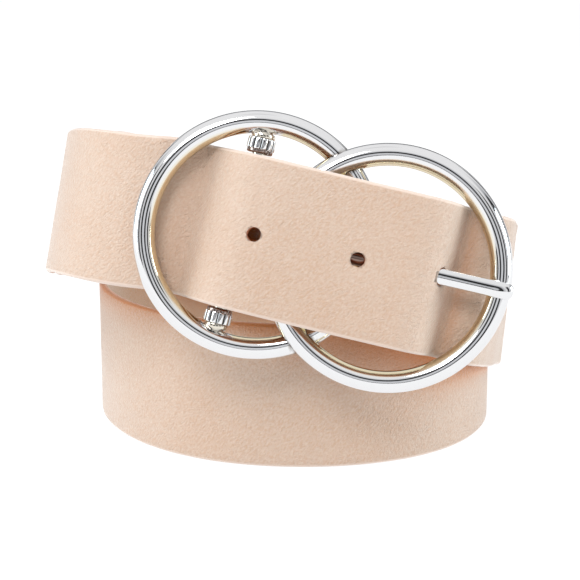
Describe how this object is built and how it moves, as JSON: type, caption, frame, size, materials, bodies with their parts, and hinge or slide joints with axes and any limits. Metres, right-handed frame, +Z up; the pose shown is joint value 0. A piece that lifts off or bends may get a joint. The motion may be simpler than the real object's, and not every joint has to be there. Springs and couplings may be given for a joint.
{
  "type": "double ring belt",
  "caption": "Leather waist belt, buckled and rolled up on its lower edge, with a buckle of overlapping soldered rings, a bar between fluted collars and a tongue.",
  "frame": {"origin": "on the surface the belt stands on, under the middle of its box", "axes": "+Z up, the buckle faces -Y, the tongue points to +X"},
  "size_m": [0.1532, 0.1612, 0.1086],
  "materials": {
    "leather": "pale blush, fine grained, soft sheen, painted cut edges",
    "chrome": "polished bright plating"
  },
  "bodies": {
    "root": {"strap": "leather", "double_ring": "chrome", "bar": "chrome", "collar_upper": "chrome", "collar_lower": "chrome", "tongue": "chrome"}
  },
  "joints": []
}
